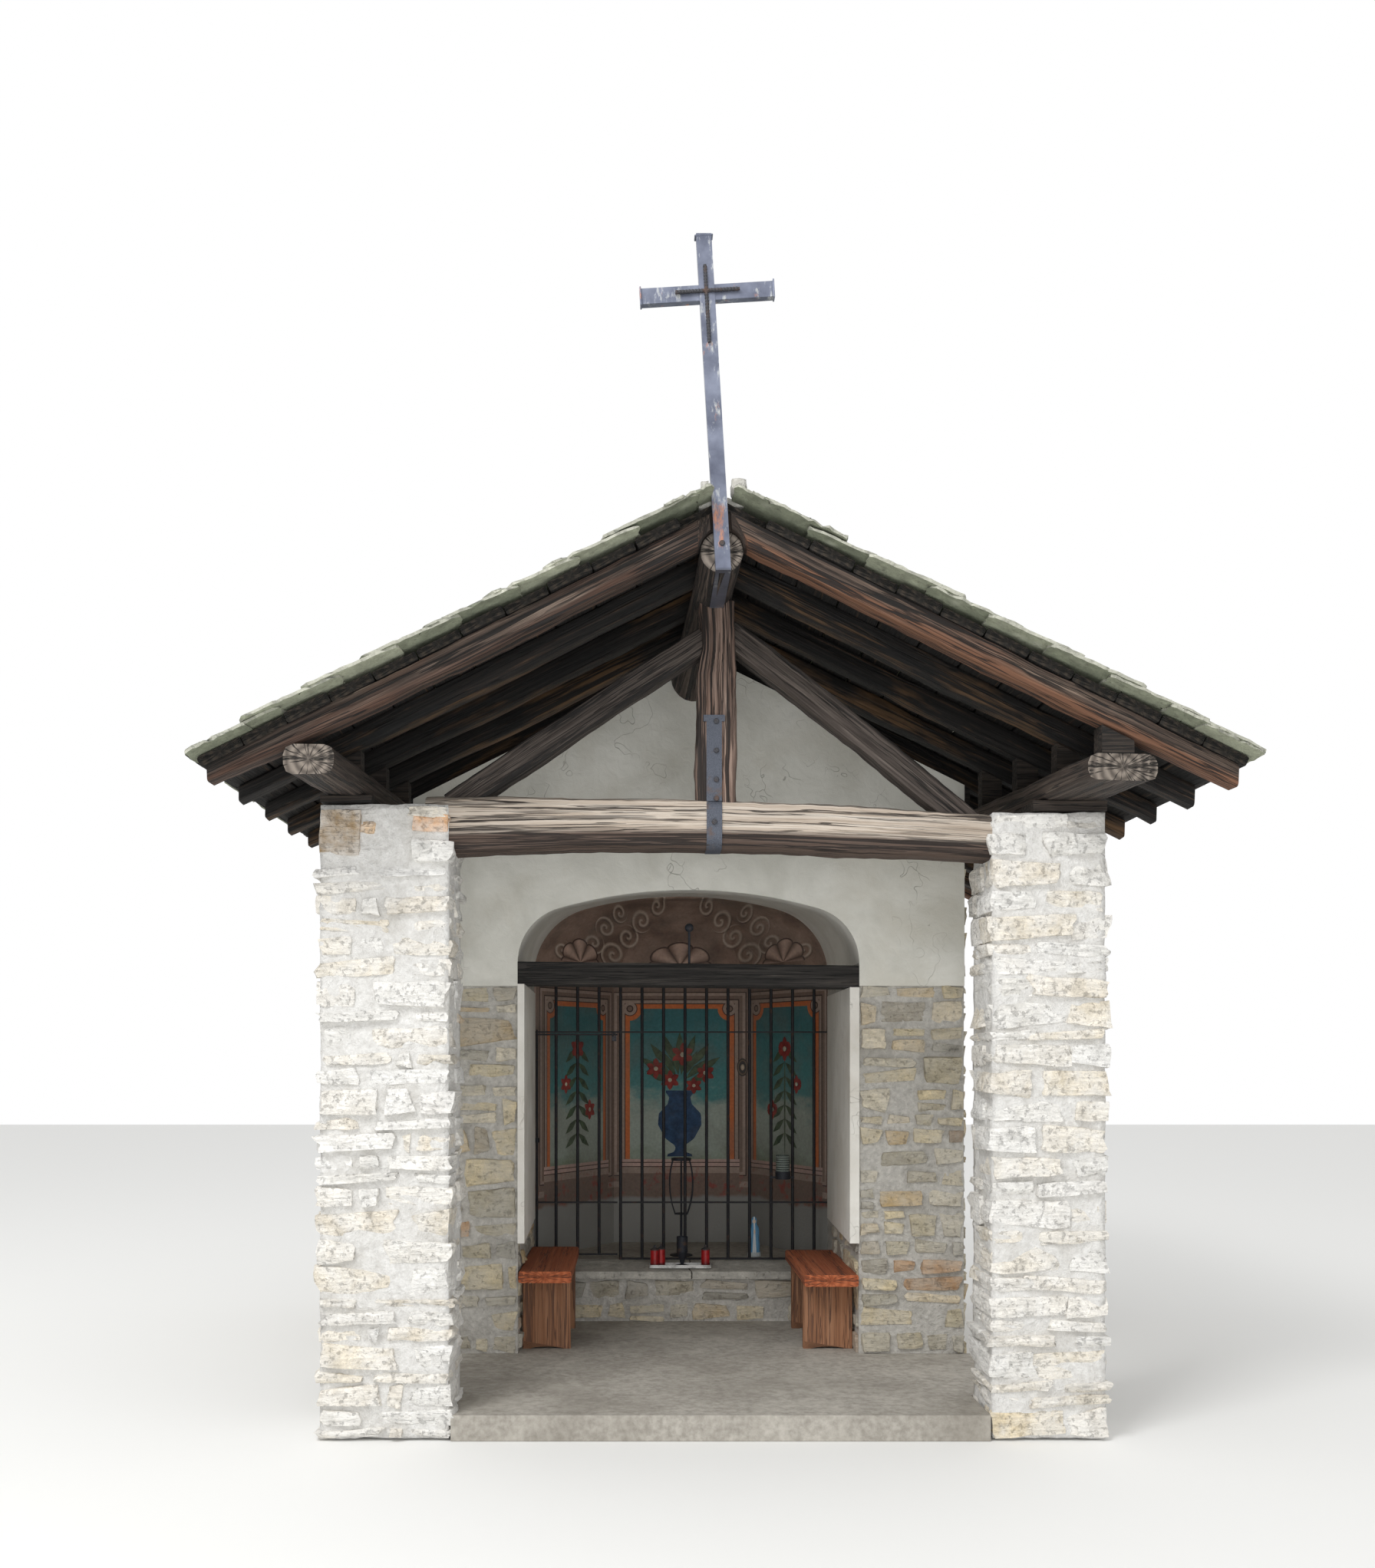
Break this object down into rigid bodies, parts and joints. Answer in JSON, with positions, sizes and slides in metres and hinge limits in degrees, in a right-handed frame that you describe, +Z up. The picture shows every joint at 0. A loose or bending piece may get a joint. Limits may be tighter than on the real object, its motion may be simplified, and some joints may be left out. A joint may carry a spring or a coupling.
{
  "type": "wayside chapel",
  "caption": "Small wayside chapel of rubble stone with an open timber porch on two piers, a stone-slab gable roof, a painted apse behind an iron grille and a cross on the ridge.",
  "frame": {"origin": "on the lowest ground, in the plane of the piers' front faces, near the middle between the piers", "axes": "+X to the right seen from the front, +Y from the porch to the back wall, +Z up"},
  "size_m": [4.604, 4.85, 5.347],
  "materials": {
    "bench_wood": "reddish brown stained planks",
    "concrete": "worn trowelled concrete",
    "dark_iron": "dark wrought iron",
    "dark_timber": "dark aged softwood",
    "figure_paint": "painted cast figure",
    "glass": "clear glass jar",
    "medallion_dark": "dark glazed oval",
    "old_timber": "weathered brown softwood with long cracks",
    "painted_plaster": "painted lime plaster",
    "plaster": "old lime plaster with fine cracks",
    "rubble_stone": "rough split stone bedded in lime mortar",
    "steel_paint": "grey-blue paint with pale and rusty patches",
    "stone_slab": "weathered grey-green stone",
    "tin": "dull tray metal",
    "wax": "candle wax"
  },
  "bodies": {
    "chapel": {"apse_corners": "painted_plaster", "apse_floor": "concrete", "back_wall": "rubble_stone", "beam_finial": "dark_iron", "candles": "wax", "cross_arm": "steel_paint", "cross_post": "steel_paint", "fixed_grille": "dark_iron", "flower_stand": "dark_iron", "front_gable": "rubble_stone", "front_plaster": "plaster", "gate_hinges": "dark_iron", "grille_transom": "dark_iron", "iron_vase": "dark_iron", "jamb_linings": "plaster", "jar_holder": "dark_iron", "king_post": "old_timber", "king_strap": "dark_iron", "left_bench": "bench_wood", "left_pier": "rubble_stone", "left_purlin": "old_timber", "left_rafters": "old_timber", "left_roof_deck": "dark_timber", "left_roof_slabs": "stone_slab", "left_side_wall": "rubble_stone", "left_strut": "old_timber", "left_verge_rafters": "old_timber", "lintel_beam": "dark_timber", "medallion": "medallion_dark", "packing_blocks": "old_timber", "parapet": "rubble_stone", "pier_pads": "old_timber", "porch_floor": "concrete", "rear_ridge_beam": "old_timber", "ridge_beam": "old_timber", "right_bench": "bench_wood", "right_pier": "rubble_stone", "right_purlin": "old_timber", "right_rafters": "old_timber", "right_roof_deck": "dark_timber", "right_roof_slabs": "stone_slab", "right_side_wall": "rubble_stone", "right_strut": "old_timber", "right_verge_rafters": "old_timber", "sill_slab": "stone_slab", "statuette": "figure_paint", "tie_beam": "old_timber", "tray": "tin", "vault": "painted_plaster", "votive_jar": "glass", "wall_plates": "old_timber"},
    "gate": {"grille_gate": "dark_iron"}
  },
  "joints": [
    {"name": "gate_hinge", "type": "hinge", "parent": "chapel", "child": "gate", "pos_m": [-1.03, 2.64, 1.2], "axis": [0, 0, 1], "range_deg": [0, 50]}
  ]
}
